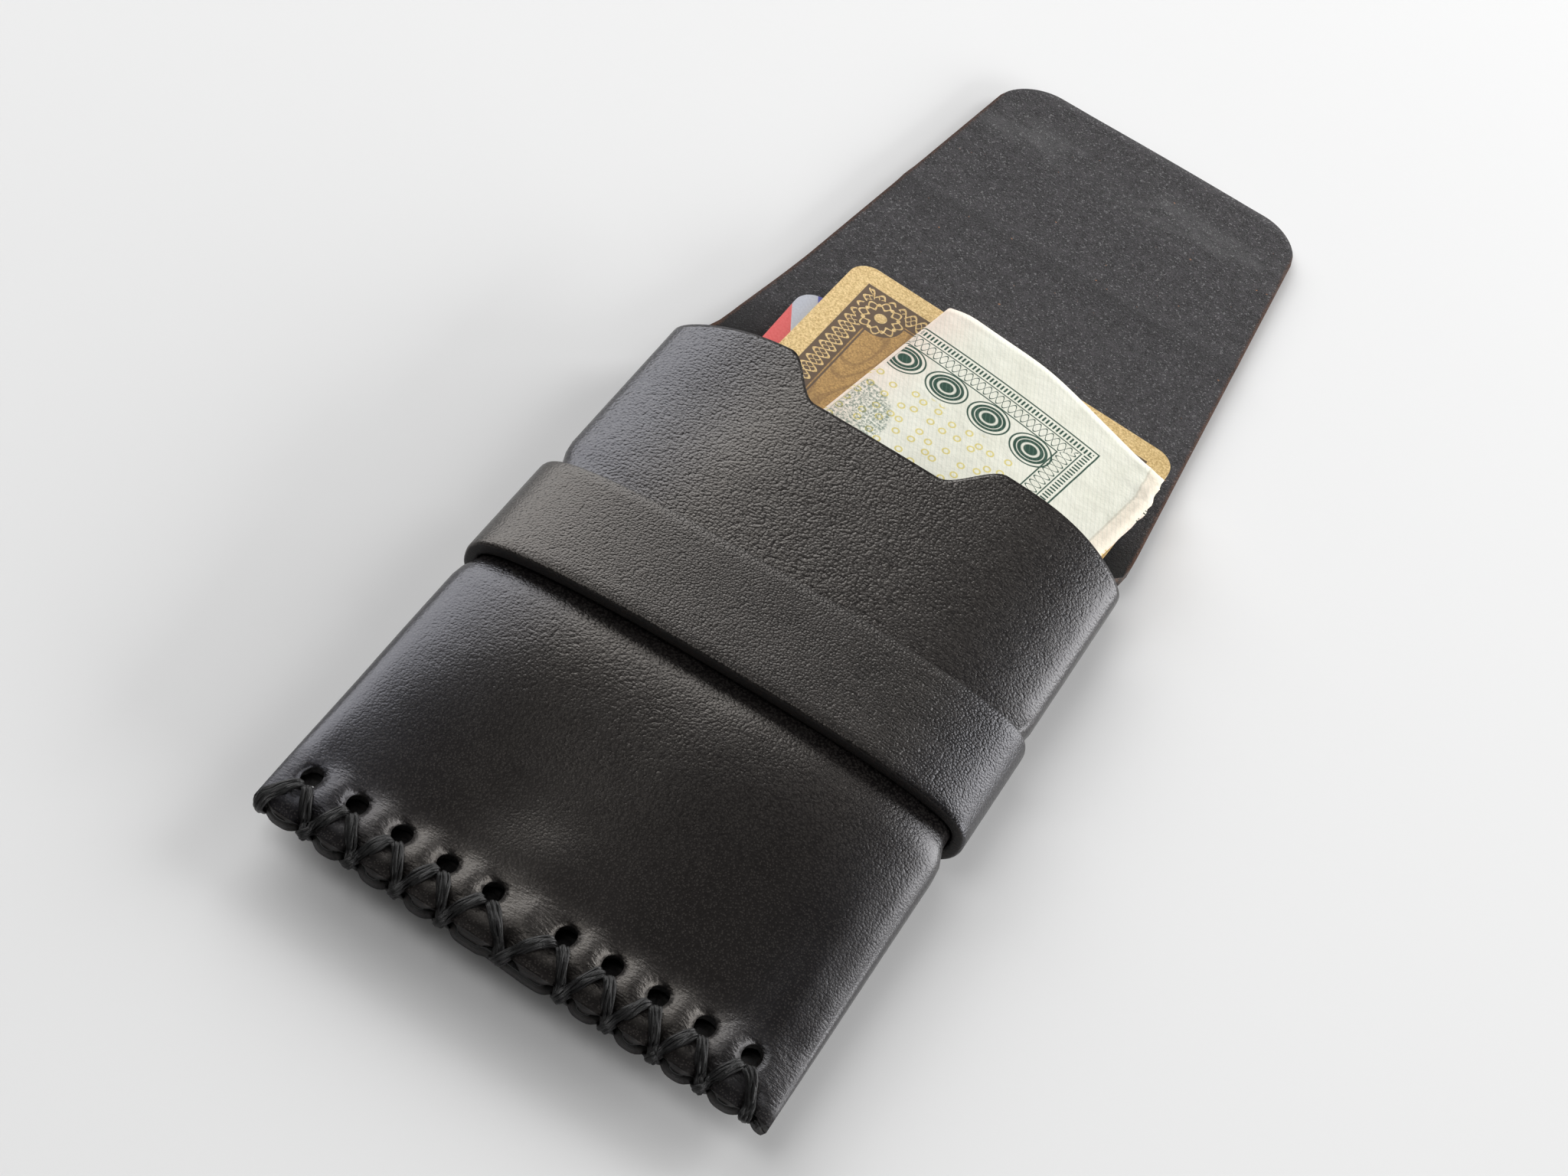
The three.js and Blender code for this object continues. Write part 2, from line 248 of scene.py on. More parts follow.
class Shader:
    """A principled material whose nodes are added by short calls."""

    def __init__(self, name):
        self.material = bpy.data.materials.new(name)
        self.material.use_nodes = True
        self.tree = self.material.node_tree
        self.tree.nodes.clear()
        self.output = self.add("ShaderNodeOutputMaterial")
        self.bsdf = self.add("ShaderNodeBsdfPrincipled")
        self.tree.links.new(self.bsdf.outputs[0], self.output.inputs[0])

    def add(self, kind, **settings):
        node = self.tree.nodes.new(kind)
        for key, value in settings.items():
            setattr(node, key, value)
        return node

    def put(self, socket, value):
        if isinstance(value, bpy.types.NodeSocket):
            self.tree.links.new(value, socket)
        else:
            socket.default_value = value

    def set(self, **values):
        names = {"color": "Base Color", "roughness": "Roughness", "metallic": "Metallic",
                 "normal": "Normal", "sheen": "Sheen Weight", "sheen_roughness": "Sheen Roughness",
                 "specular": "Specular IOR Level", "tint": "Specular Tint"}
        for key, value in values.items():
            self.put(self.bsdf.inputs[names[key]], value)

    def math(self, operation, a, b=0.0):
        node = self.add("ShaderNodeMath", operation=operation)
        self.put(node.inputs[0], a)
        self.put(node.inputs[1], b)
        return node.outputs[0]

    def plus(self, a, b):
        return self.math("ADD", a, b)

    def minus(self, a, b):
        return self.math("SUBTRACT", a, b)

    def times(self, a, b):
        return self.math("MULTIPLY", a, b)

    def flip(self, value):
        """0 becomes 1 and 1 becomes 0."""
        return self.minus(1.0, value)

    def gap(self, a, b):
        """How far apart two values are."""
        return self.math("ABSOLUTE", self.minus(a, b))

    def hypot(self, a, b):
        return self.math("SQRT", self.plus(self.times(a, a), self.times(b, b)))

    def step(self, value, low, high, smooth=True):
        """0 below low, 1 above high."""
        node = self.add("ShaderNodeMapRange", clamp=True)
        node.interpolation_type = "SMOOTHSTEP" if smooth else "LINEAR"
        self.put(node.inputs["Value"], value)
        self.put(node.inputs["From Min"], low)
        self.put(node.inputs["From Max"], high)
        return node.outputs["Result"]

    def scale(self, value, low, high):
        """0 to 1 becomes low to high."""
        node = self.add("ShaderNodeMapRange", clamp=False)
        self.put(node.inputs["Value"], value)
        self.put(node.inputs["To Min"], low)
        self.put(node.inputs["To Max"], high)
        return node.outputs["Result"]

    def mix(self, factor, a, b):
        node = self.add("ShaderNodeMix", data_type="RGBA")
        self.put(node.inputs[0], factor)
        self.put(node.inputs[6], a)
        self.put(node.inputs[7], b)
        return node.outputs[2]

    def pick(self, factor, a, b):
        """Value a where factor is 0, b where it is 1."""
        node = self.add("ShaderNodeMix", data_type="FLOAT")
        self.put(node.inputs[0], factor)
        self.put(node.inputs[2], a)
        self.put(node.inputs[3], b)
        return node.outputs[0]

    def millimetres(self):
        """Position in millimetres in the wallet's frame."""
        coords = self.add("ShaderNodeTexCoord")
        node = self.add("ShaderNodeVectorMath", operation="MULTIPLY_ADD")
        self.put(node.inputs[0], coords.outputs["Object"])
        node.inputs[1].default_value = (1 / MM, 1 / MM, 1 / MM)
        node.inputs[2].default_value = (0, -SEAM_Y, 0)
        return node.outputs[0]

    def uv(self):
        return self.add("ShaderNodeTexCoord").outputs["UV"]

    def stretched(self, vector, factors):
        node = self.add("ShaderNodeVectorMath", operation="MULTIPLY")
        self.put(node.inputs[0], vector)
        node.inputs[1].default_value = factors
        return node.outputs[0]

    def local(self, vector, centre, angle):
        """Position from a centre on the table plane, turned back by an angle."""
        node = self.add("ShaderNodeMapping", vector_type="TEXTURE")
        self.put(node.inputs["Vector"], vector)
        node.inputs["Location"].default_value = (centre[0], centre[1], 0)
        node.inputs["Rotation"].default_value = (0, 0, angle)
        return node.outputs[0]

    def parts(self, vector):
        node = self.add("ShaderNodeSeparateXYZ")
        self.put(node.inputs[0], vector)
        return node.outputs

    def noise(self, vector, size, detail=2.0, roughness=0.5):
        """Noise with features about size millimetres across."""
        node = self.add("ShaderNodeTexNoise")
        self.put(node.inputs["Vector"], vector)
        node.inputs["Scale"].default_value = 1 / size
        node.inputs["Detail"].default_value = detail
        node.inputs["Roughness"].default_value = roughness
        return node.outputs[0]

    def warped(self, vector, size, amount):
        """Position moved about by noise, so that cells lose their even shapes."""
        noise = self.add("ShaderNodeTexNoise")
        self.put(noise.inputs["Vector"], vector)
        noise.inputs["Scale"].default_value = 1 / size
        noise.inputs["Detail"].default_value = 1
        node = self.add("ShaderNodeVectorMath", operation="MULTIPLY_ADD")
        self.put(node.inputs[0], noise.outputs["Color"])
        node.inputs[1].default_value = (amount, amount, amount)
        self.put(node.inputs[2], vector)
        return node.outputs[0]

    def dome(self, distance):
        """1 at the middle of a cell, falling roundly to 0 where it meets its neighbours."""
        return self.flip(self.times(self.times(distance, distance), 2.2))

    def cells(self, vector, size, randomness=1.0, dimensions="3D"):
        """Distance from the middle of the nearest of many cells about size millimetres across."""
        node = self.add("ShaderNodeTexVoronoi", voronoi_dimensions=dimensions)
        self.put(node.inputs["Vector"], vector)
        node.inputs["Scale"].default_value = 1 / size
        node.inputs["Randomness"].default_value = randomness
        return node.outputs["Distance"]

    def bump(self, height, depth_mm, normal=None):
        node = self.add("ShaderNodeBump")
        node.inputs["Strength"].default_value = 1.0
        node.inputs["Distance"].default_value = depth_mm * MM
        self.put(node.inputs["Height"], height)
        if normal is not None:
            self.put(node.inputs["Normal"], normal)
        return node.outputs[0]


def grey(level, tint=(1, 1, 1)):
    return (level * tint[0], level * tint[1], level * tint[2], 1)


def rgb(code):
    """Linear colour of a six-digit sRGB code."""
    parts = [int(code[i:i + 2], 16) / 255 for i in (0, 2, 4)]
    return tuple(c / 12.92 if c <= 0.04045 else ((c + 0.055) / 1.055) ** 2.4 for c in parts) + (1,)


def grain_leather():
    """Grain side: fine pebbles, coarser towards the mouth, semi-gloss, with glints painted lighter on
    the pebble tops.
    """
    s = Shader("grain_leather")
    place = s.millimetres()
    x, y, _ = s.parts(place)
    coarse = s.dome(s.cells(s.warped(place, 0.8, 0.15), 0.45))
    fine = s.dome(s.cells(s.warped(place, 0.5, 0.1), 0.31))
    creases = s.noise(place, 1.5, 3, 0.6)
    upper = s.step(s.plus(y, s.scale(s.noise(place, 22), -18, 18)), 14, 66)
    even = s.scale(s.step(x, 8, 28), 1.0, 0.4)
    pebbles = s.times(s.times(coarse, even), s.scale(upper, 0.1, 0.8))
    small = s.times(fine, s.scale(upper, 0.3, 0.4))
    creased = s.times(creases, s.scale(upper, 0.15, 0.2))
    height = s.plus(s.plus(pebbles, small), creased)
    soft = s.bump(s.noise(place, 7.5, 1), 0.1)
    near_seam = s.flip(s.step(y, 6.0, 11.0))
    wrinkles = s.noise(s.stretched(place, (0.35, 1.0, 1.0)), 0.42, 3, 0.6)
    soft = s.bump(s.times(wrinkles, near_seam), 0.16, soft)
    s.set(normal=s.bump(height, 0.03, soft))
    patch = s.noise(place, 14, 3, 0.6)
    low = s.mix(patch, grey(0.004, (1.15, 1.0, 1.08)), grey(0.006, (1.2, 1.0, 1.02)))
    high = s.mix(patch, grey(0.022, (1.1, 1.0, 0.95)), grey(0.034, (1.12, 1.0, 0.93)))
    # Painted glints: pebble tops take the lighter colour and the hollows between them the darker,
    # standing in for the grain's specular sparkle.
    coarse_painted_glint_tops = s.times(s.step(coarse, 0.4, 0.95), upper)
    painted_glint_tops = s.math("MAXIMUM", s.step(fine, 0.6, 0.97), coarse_painted_glint_tops)
    s.set(color=s.mix(painted_glint_tops, low, high))
    worn = s.scale(s.noise(place, 9, 3, 0.6), 0.25, 0.32)
    worn = s.plus(worn, s.times(near_seam, 0.12))
    tint = s.mix(s.step(x, -33, -14), rgb("edeefb"), rgb("fff6ec"))
    tint = s.mix(s.step(x, 20, 31), tint, rgb("f4f3f8"))
    matt = s.flip(s.step(y, 0.7, 2.2))
    s.set(roughness=s.plus(worn, s.times(matt, 0.3)))
    s.set(specular=s.scale(matt, 0.65, 0.2), tint=tint)
    return s.material


def flesh_leather():
    """Suede side: mottled charcoal with pale and rusty fibre ends."""
    s = Shader("flesh_leather")
    place = s.millimetres()
    x, y, _ = s.parts(place)
    mottle = s.noise(place, 2.2, 5, 0.7)
    fibres = s.noise(s.warped(place, 1.2, 0.8), 0.28, 4, 0.75)
    specks = s.step(s.noise(place, 0.36, 2, 0.6), 0.59, 0.67)
    tufts = s.noise(place, 0.8, 3, 0.65)
    dark = grey(0.021, (1.04, 0.94, 1.04))
    light = grey(0.048, (1.04, 0.95, 1.04))
    base = s.mix(s.step(mottle, 0.36, 0.66), dark, light)
    base = s.mix(s.times(s.step(tufts, 0.56, 0.36), 0.6), base, grey(0.014))
    base = s.mix(s.times(s.step(fibres, 0.44, 0.6), 0.5), base, grey(0.1, (1.0, 0.97, 1.0)))
    base = s.mix(s.times(specks, 0.5), base, grey(0.3))
    # Painted shade: the suede darkens to near black towards the pocket mouth, where the pocket and
    # cards shade the flap.
    painted_mouth_shade = s.flip(s.step(y, 106, 122))
    base = s.mix(s.times(painted_mouth_shade, 0.94), base, grey(0.005))
    rust = s.step(s.noise(s.stretched(place, (1, 1.7, 1)), 0.9, 1), 0.79, 0.805)
    base = s.mix(s.times(rust, 0.9), base, rgb("c08a60"))
    run = s.minus(y, BODY_LENGTH)
    centre = s.plus(s.times(run, FLAP_LEAN), FLAP_OFFSET)
    half = s.minus(FLAP_ROOT_HALF, s.times(run, FLAP_TAPER))
    inside = s.minus(half, s.gap(x, centre))
    frayed = s.plus(inside, s.scale(fibres, 1.1, -1.1))
    base = s.mix(s.times(s.flip(s.step(frayed, 0.1, 0.6)), 0.75), base, rgb("5c3d2c"))
    crease_x = s.noise(s.stretched(place, (1, 0, 0)), 9, 3, 0.6)
    line = s.plus(y, s.scale(crease_x, -2.2, 2.2))
    off = s.gap(line, CREASE_Y)
    crease = s.times(s.flip(s.step(off, 0.2, 2.2)), s.step(mottle, 0.4, 0.6))
    base = s.mix(s.times(crease, 0.45), base, grey(0.012))
    rub = s.flip(s.step(s.gap(y, RUB_Y), 1.5, 6.0))
    rub = s.times(rub, s.step(s.noise(s.stretched(place, (0.35, 1, 1)), 4, 3), 0.45, 0.7))
    base = s.mix(s.times(rub, 0.22), base, grey(0.2))
    s.set(color=base)
    height = s.plus(s.times(mottle, 0.7), fibres)
    height = s.minus(height, s.times(crease, 0.25))
    s.set(normal=s.bump(height, 0.28))
    s.set(roughness=0.95, specular=0.16, sheen=0.08, sheen_roughness=0.6)
    return s.material


def cut_edge():
    """Cut leather edge: dark fibres with a brown core that shows through, and a painted shadow line
    between the seam's two layers.
    """
    s = Shader("cut_edge")
    place = s.millimetres()
    fibre = s.noise(s.stretched(place, (1, 1, 2.5)), 0.5, 4, 0.7)
    _, y, z = s.parts(place)
    at_seam = s.flip(s.step(y, 1.5, 3.5))
    off = s.gap(z, SEAM_MIDDLE - 0.1)
    layer = s.math("DIVIDE", s.minus(off, LEATHER / 2), LEATHER / 2)
    rounded = s.times(s.flip(s.times(layer, layer)), at_seam)
    # Painted shade: a near-black line at mid-height of the seam edge stands in for the shaded gap
    # between the two leather layers, which touch in the mesh.
    painted_slit_shade = s.times(s.flip(s.step(off, 0.1, 0.32)), at_seam)
    core = s.mix(s.step(y, 60, 90), rgb("2c221e"), rgb("6b4a35"))
    color = s.mix(s.step(fibre, 0.42, 0.72), grey(0.010), core)
    s.set(color=s.mix(painted_slit_shade, color, grey(0.001)))
    s.set(normal=s.bump(rounded, 0.45, s.bump(fibre, 0.12)), roughness=0.55, specular=0.4)
    return s.material


def strap_leather():
    """Smoother leather, satin, with fine scuffs."""
    s = Shader("strap_leather")
    place = s.millimetres()
    fibre = s.noise(s.stretched(place, (0.7, 1, 1)), 0.4, 4, 0.7)
    pores = s.dome(s.cells(s.warped(place, 0.5, 0.15), 0.33))
    height = s.plus(s.times(pores, 0.8), s.times(fibre, 0.7))
    waves = s.bump(s.noise(place, 9, 1), 0.12)
    s.set(normal=s.bump(height, 0.03, waves))
    patch = s.noise(s.stretched(place, (0.6, 1, 1)), 5, 4, 0.6)
    low = s.mix(patch, grey(0.004), grey(0.006, (1.15, 1.0, 0.98)))
    high = s.mix(patch, grey(0.016, (1.12, 1.0, 0.95)), grey(0.026, (1.15, 1.0, 0.92)))
    s.set(color=s.mix(s.step(pores, 0.35, 0.9), low, high))
    s.set(roughness=s.scale(patch, 0.26, 0.37))
    s.set(specular=0.62, tint=s.mix(s.step(s.parts(place)[0], 20, 31), rgb("fff6ee"), rgb("f1f1fa")))
    return s.material


def waxed_cord():
    """Black cord of several flat filaments, which run along the strand."""
    s = Shader("waxed_cord")
    uv = s.uv()
    streaks = s.noise(s.stretched(uv, (0.3, 5.5, 1)), 1.0, 3, 0.65)
    fuzz = s.noise(s.millimetres(), 0.25, 3, 0.7)
    height = s.plus(streaks, s.times(fuzz, 0.35))
    s.set(normal=s.bump(height, 0.22))
    s.set(color=s.mix(s.step(streaks, 0.4, 0.7), grey(0.002), grey(0.013, (1.05, 0.98, 1.0))))
    s.set(roughness=s.scale(fuzz, 0.28, 0.5), specular=0.42)
    return s.material


# Leather of pocket and flap

def body_bottom(y):
    return SEAM_BOTTOM + (BODY_BOTTOM - SEAM_BOTTOM) * ease(y / SEAM_RISE_BACK)


def body_top(y):
    t = np.clip(y / SEAM_RISE_FRONT, 0, 1)
    pressed = ease((y - STRAP_START + GRIP_REACH) / GRIP_REACH) * (1 - ease((y - STRAP_START - 6) / 8))
    return SEAM_TOP + (BODY_TOP - SEAM_TOP) * np.sin(t * math.pi / 2) - GRIP_TOP * pressed


def body_half(y):
    return BODY_HALF - GRIP_SIDE * strap_grip(y)


def strap_grip(y):
    """1 where the strap squeezes the pocket, 0 away from it."""
    end = STRAP_START + STRAP_WIDTH
    return ease((y - STRAP_START + GRIP_REACH) / GRIP_REACH) * (1 - ease((y - end) / GRIP_REACH))


def valley(x):
    """1 where two strands cross over the seam edge, 0 at the holes."""
    x = np.asarray(x, float)
    total = sum(bell((x - c) / 1.35) for c in CROSSINGS)
    ends = bell((x - HOLES[0] + END_STITCH) / 1.2) + bell((x - HOLES[-1] - END_STITCH) / 1.2)
    return np.clip(total + 0.8 * ends, 0, 1)


def seam_edge(x):
    """Where the leather ends at the seam: lobes at the holes, pulled in at the crossings."""
    lobes = np.where(np.abs(x) < BODY_HALF - 0.3, 1.0, 0.0)
    return -0.35 * lobes + 1.15 * valley(x)


def front_relief(x, y):
    """Height added to the front panel by its contents, the lacing and wear."""
    # Cut down where strands cross, and rounded off along the edge
    z = -1.7 * valley(x) * (1 - ease((y - 0.6) / 2.9))
    z = z - 0.75 * bell(y / 1.5)
    # Pillows between the holes and a dish round each hole
    for c in CROSSINGS:
        z = z + 0.55 * bell((x - c) / 1.9) * bell((y - 5.2) / 2.2)
    for h in HOLES:
        z = z - 0.55 * bell(np.hypot(x - h, (y - HOLE_INSET + 0.6) * 0.7) / 1.8)
    # Hollows of the lower panel, one left and one right of its middle, with a low swelling between
    z = z - 1.2 * bell((x + 12) / 13) * (1 - ease((y - 18) / 24)) * ease(y / 9)
    z = z - 0.5 * bell((x - 18) / 12) * (1 - ease((y - 14) / 24)) * ease(y / 9)
    z = z + 0.4 * bell((x + 4) / 6) * bell((y - 12) / 5)
    # Bulge below the strap, dent near the mouth and a ridge along the right side
    z = z + 0.5 * bell((x - 9) / 13) * bell((y - 40) / 9)
    z = z - 0.35 * bell((x + 22) / 7) * bell((y - 90) / 12)
    z = z + 0.42 * bell((x - 29.7) / 3.2) * (1 - ease((y - 14) / 24)) * ease(y / 6)
    return z + CROWN * (1 - (x / 30.0) ** 2) * ease((y - 14) / 20)


def back_relief(x, y):
    """Height added to the back panel: pulled in at the crossings and dished at the holes."""
    z = 0.9 * valley(x) * bell(y / 2.3)
    z = z + 0.3 * bell(y / 0.9)
    for h in HOLES:
        z = z + 0.3 * bell(np.hypot(x - h, y - HOLE_INSET) / 1.9)
    return z


def oval(angle, half, bottom, top, back):
    """Points of a rounded section; a higher number for the back makes its corners squarer."""
    c = np.cos(angle)
    s = np.sin(angle)
    power = np.where(s >= 0, FRONT_ROUNDNESS, back)
    middle = (bottom + top) / 2
    rise = (top - bottom) / 2
    x = half * np.sign(c) * np.abs(c) ** (2 / power)
    z = middle + rise * np.sign(s) * np.abs(s) ** (2 / power)
    return x, z


def even_angles(count, section):
    """Angles round an oval section, spaced evenly by length along it."""
    dense = np.linspace(0, 2 * math.pi, 8001)
    x, z = oval(dense, *section)
    length = np.concatenate([[0], np.cumsum(np.hypot(np.diff(x), np.diff(z)))])
    return np.interp(np.arange(count) * length[-1] / count, length, dense)


def pocket_point(angle, y):
    """Outer surface of the pocket leather with its relief."""
    back = SEAM_ROUNDNESS + (BACK_ROUNDNESS - SEAM_ROUNDNESS) * ease((y - 6) / 18)
    x, z = oval(angle, body_half(y), body_bottom(y), body_top(y), back)
    s = np.sin(angle)
    inward = ease((BODY_HALF - np.abs(x)) / 5.0)
    z = z + np.where(s >= 0, front_relief(x, y), back_relief(x, y)) * inward * ease(np.abs(s) * 2)
    return x, z


def mouth_edge(x, s):
    """Where the pocket leather ends at the mouth. s is the sine of the ring angle."""
    off = np.abs(x - NOTCH_CENTRE)
    notch = NOTCH_DEPTH * (1 - ease((off - NOTCH_FOOT_HALF) / (NOTCH_TOP_HALF - NOTCH_FOOT_HALF)))
    shoulder = np.clip((np.abs(x) - 17.0) / (BODY_HALF - 17.0), 0, 1)
    front = BODY_LENGTH - notch - MOUTH_DROP * shoulder ** 2.4
    side = BODY_LENGTH - MOUTH_DROP * (1 - ease(-s / 0.7))
    return np.where(s >= 0, front, side)


def flap_half(y):
    return FLAP_ROOT_HALF - FLAP_TAPER * np.maximum(y - BODY_LENGTH, 0)


def flap_centre(y):
    return (FLAP_OFFSET + FLAP_LEAN * np.maximum(y - BODY_LENGTH, 0)) * ease((y - BODY_LENGTH) / 6)


def flap_under(x, y):
    """Height of the flap's grain side above the table."""
    z = BODY_BOTTOM * (1 - ease((y - BODY_LENGTH) / (FLAT_FROM - BODY_LENGTH)))
    wave = 0.12 * np.sin(x / 9.0 + 1.0) * np.sin(y / 13.0)
    # Slow waves lift the flap off the table, and it rises a little along the crease
    return z + np.maximum(wave, 0) * ease((y - BODY_LENGTH) / 8) + 0.25 * bell((y - CREASE_Y) / 2.2)


def row_stations():
    """Distances from the seam of the rings, closer together at the holes and at the mouth."""
    near = np.arange(0, 10, 0.42)
    middle = np.linspace(10, 88, 44)
    mouth = np.linspace(89, BODY_LENGTH, 20)
    return np.concatenate([near, middle, mouth])


def leather_sheet():
    """One surface: tube of the pocket, with the back panel running on into the flap."""
    angles = even_angles(RING_COUNT, POCKET_SECTION)
    stations = row_stations()
    x_nominal, _ = oval(angles, *POCKET_SECTION)
    s = np.sin(angles)
    start = seam_edge(x_nominal)
    stop = mouth_edge(x_nominal, s)
    points = []
    for station in stations:
        t = station / BODY_LENGTH
        y = start + (stop - start) * t
        x, z = pocket_point(angles, y)
        settle = ease((station - 96) / 8) * (s < 0)
        flat = np.abs(x_nominal) <= FLAP_ROOT_HALF
        z = np.where(flat, z * (1 - settle) + BODY_BOTTOM * settle, z)
        points.append(np.stack([x, y, z], axis=1))
    faces = grid_faces(len(stations), RING_COUNT, closed_columns=True)
    count = len(stations) * RING_COUNT
    columns = np.nonzero((s < 0) & (np.abs(x_nominal) <= FLAP_ROOT_HALF))[0]
    share = x_nominal[columns] / np.abs(x_nominal[columns]).max()
    tip = flap_tip(share)
    rows = flap_rows()
    previous = (len(stations) - 1) * RING_COUNT + columns
    for row in rows:
        y = BODY_LENGTH + (tip - BODY_LENGTH) * row
        x = flap_centre(y) + share * flap_half(y)
        points.append(np.stack([x, y, flap_under(x, y)], axis=1))
        current = count + np.arange(len(columns))
        for k in range(len(columns) - 1):
            faces.append((previous[k], previous[k + 1], current[k + 1], current[k]))
        previous = current
        count += len(columns)
    return np.vstack(points), faces


def flap_rows():
    """Shares of the flap's length, closer together where it folds."""
    root = np.linspace(0.03, 0.27, 9)
    fold = np.linspace(0.28, 0.54, 34)
    tip = np.linspace(0.56, 1, 24)
    return np.concatenate([root, fold, tip])


def flap_tip(share):
    """Where each column of the flap ends, with rounded tip corners."""
    half = flap_half(np.array(FLAP_TIP))
    inside = np.clip((np.abs(share) * half - (half - FLAP_CORNER)) / FLAP_CORNER, 0, 1)
    return FLAP_TIP - FLAP_CORNER * (1 - np.sqrt(np.maximum(1 - inside ** 2, 0)))


def punch_holes(points, faces):
    """Opens the punched holes: faces inside go and the rim is drawn onto an oval."""
    keep = []
    points = points.copy()
    front = points[:, 2] > SEAM_MIDDLE
    inside = np.zeros(len(points), bool)
    for side in (True, False):
        for h in HOLES:
            d = (points[:, :2] - np.array([h, HOLE_INSET])) / HOLE_SHAPE
            r = np.hypot(d[:, 0], d[:, 1])
            near = (front == side) & (r < HOLE_RADIUS) & (points[:, 1] < 12)
            inside |= near
    for face in faces:
        if not inside[list(face)].any():
            keep.append(face)
    used = np.zeros(len(points), bool)
    edge_use = {}
    for face in keep:
        for a, b in zip(face, face[1:] + face[:1]):
            key = (min(a, b), max(a, b))
            edge_use[key] = edge_use.get(key, 0) + 1
        used[list(face)] = True
    rim = {v for key, n in edge_use.items() if n == 1 for v in key}
    for v in rim:
        x, y, _ = points[v]
        if y > 9:
            continue
        for h in HOLES:
            d = np.array([x - h, y - HOLE_INSET]) / HOLE_SHAPE
            r = np.hypot(*d)
            if r < HOLE_RADIUS + HOLE_RIM and y > 2.5:
                points[v, :2] = np.array([h, HOLE_INSET]) + d / r * HOLE_RADIUS * HOLE_SHAPE
                points[v, 2] += -HOLE_DISH if front[v] else HOLE_DISH
    new_index = np.cumsum(used) - 1
    return points[used], [tuple(new_index[list(face)]) for face in keep]


def build_leather():
    points, faces = punch_holes(*leather_sheet())
    piece = add_mesh("wallet_leather", points, [face[::-1] for face in faces])
    for material in (grain_leather(), flesh_leather(), cut_edge()):
        piece.data.materials.append(material)
    thick = piece.modifiers.new("thickness", "SOLIDIFY")
    thick.thickness = LEATHER * MM
    thick.offset = -1
    thick.material_offset = 1
    thick.material_offset_rim = 2
    apply_modifiers(piece)
    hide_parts("pocket", "flap")
    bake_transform(piece)


def apply_modifiers(piece):
    depsgraph = bpy.context.evaluated_depsgraph_get()
    mesh = bpy.data.meshes.new_from_object(piece.evaluated_get(depsgraph))
    piece.modifiers.clear()
    piece.data = mesh


# Strap

def build_strap():
    angle = even_angles(STRAP_COLUMNS, STRAP_SECTION)
    x, z = oval(angle, *STRAP_SECTION)
    before = np.stack([np.roll(x, 1), np.roll(z, 1)])
    after = np.stack([np.roll(x, -1), np.roll(z, -1)])
    along = after - before
    along /= np.linalg.norm(along, axis=0)
    out = np.stack([along[1], -along[0]])
    front = ease(np.sin(angle) * 1.4)
    round_sides = ease(np.sin(angle) * 1.4 + 1.0)
    section = strap_section()
    points = []
    for across, lift in section:
        skew = np.clip(x / 35.0, -1, 1) * round_sides
        y = STRAP_START + STRAP_WIDTH / 2 + across + skew
        # The near edge stands a little off the pocket, and the whole strap follows its crown
        arch = 0.3 * front * (1 - (x / 36.0) ** 2) * np.clip(-across / STRAP_WIDTH, 0, 1)
        arch = arch + CROWN * front * np.maximum(1 - (x / 30.0) ** 2, 0)
        points.append(np.stack([x + out[0] * lift, y, z + out[1] * lift + arch], axis=1))
    faces = grid_faces(len(section), STRAP_COLUMNS, closed_columns=True, closed_rows=True)
    piece = add_mesh("keeper_strap", np.vstack(points), faces)
    piece.data.materials.append(strap_leather())
    piece.data.materials.append(cut_edge())
    mark_cut_sides(piece)
    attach(piece, "wallet")
    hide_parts("strap")


def strap_section():
    """Closed outline of the strap's section: across its width, and out from the pocket."""
    half = STRAP_WIDTH / 2
    soft = STRAP_EDGE
    corners = [(half, 0.0), (half, STRAP_THICK), (-half, STRAP_THICK), (-half, 0.0)]
    outline = []
    for k, (across, lift) in enumerate(corners):
        inside = (across - math.copysign(soft, across), abs(lift - soft))
        first = [-90, 0, 90, 180][k]
        for angle in np.radians(first + np.array([0, 30, 60, 90])):
            outline.append((inside[0] + soft * math.cos(angle), inside[1] + soft * math.sin(angle)))
        if k in (1, 3):
            for t in np.linspace(0, 1, 12)[1:-1]:
                outline.append(((1 - 2 * t) * (half - soft) * (1 if k == 1 else -1), outline[-1][1]))
    return outline


def mark_cut_sides(piece):
    """Gives the faces on the strap's two cut sides the second material."""
    for polygon in piece.data.polygons:
        if abs(polygon.normal.y) > 0.75:
            polygon.material_index = 1


# Lacing

def surface_height(x, y, front):
    """Outer leather height over a point near the seam."""
    share = np.clip(abs(x) / BODY_HALF, 0, 1)
    power = FRONT_ROUNDNESS if front else SEAM_ROUNDNESS
    bottom = body_bottom(y)
    top = body_top(y)
    rise = (top - bottom) / 2 * (1 - share ** power) ** (1 / power)
    relief = front_relief(x, y) if front else back_relief(x, y)
    fade = ease((BODY_HALF - abs(x)) / 5.0)
    return (bottom + top) / 2 + (rise if front else -rise) + float(relief) * float(fade)


CORD_WIDE = 1.35
CORD_FLAT = 0.85
CORD_LIFT = CORD_FLAT / 2 - 0.05
CORD_REACH = 2.3
FILAMENTS = 5
FILAMENT_SIDES = 7
FILAMENT_RADIUS = 0.21
STRAND_RINGS = 48
STRAND_RUN = (
    (0.04, HOLE_INSET - 1.3),
    (0.07, HOLE_INSET - 1.8),
    (0.16, 3.1),
    (0.28, 1.8),
    (0.4, 0.85),
)
END_RUN = (
    (0.0, HOLE_INSET - 1.3),
    (0.1, HOLE_INSET - 1.8),
    (0.45, 3.0),
    (0.8, 1.6),
    (0.97, 0.6),
)


